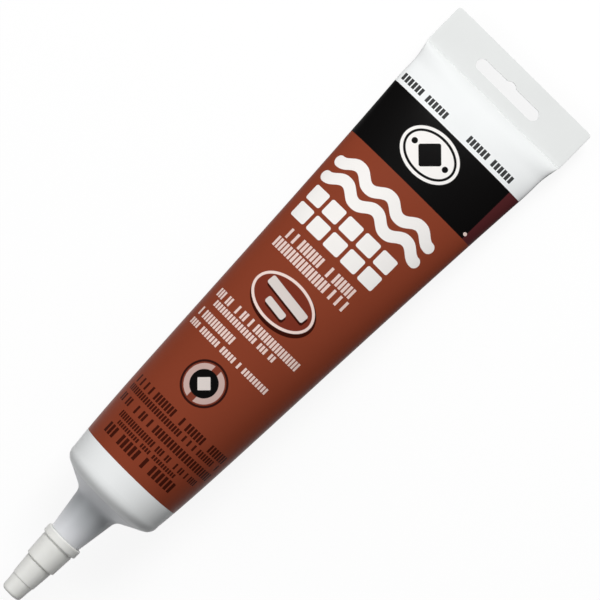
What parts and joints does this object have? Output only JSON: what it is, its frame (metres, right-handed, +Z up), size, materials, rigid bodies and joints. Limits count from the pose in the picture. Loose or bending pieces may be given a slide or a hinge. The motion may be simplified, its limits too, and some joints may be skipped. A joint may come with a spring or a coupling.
{
  "type": "caulk tube",
  "caption": "Filled squeeze tube of caulk with a flat heat-sealed end and hang hole, a moulded tapered nozzle and a stepped pull-off cap.",
  "frame": {"origin": "under the middle of the whole length, on the surface the tube lies on", "axes": "+X along the length from the cap to the crimp, +Y across the width of the crimp, +Z up through the printed front"},
  "size_m": [0.2506, 0.063, 0.04],
  "materials": {
    "printed_sleeve": "white polyethylene sleeve printed rust brown and black under a clear varnish",
    "moulded_head": "moulded polyethylene, cool grey white, satin",
    "moulded_cap": "moulded natural polyethylene, warm off-white, satin"
  },
  "bodies": {
    "tube": {"tube_sleeve": "printed_sleeve", "nozzle_head": "moulded_head"},
    "cap": {"tip_cap": "moulded_cap"}
  },
  "joints": [
    {"name": "cap_pull", "type": "slide", "parent": "tube", "child": "cap", "axis": [-0.9975, 0, 0.0706], "range_m": [0, 0.03]}
  ]
}
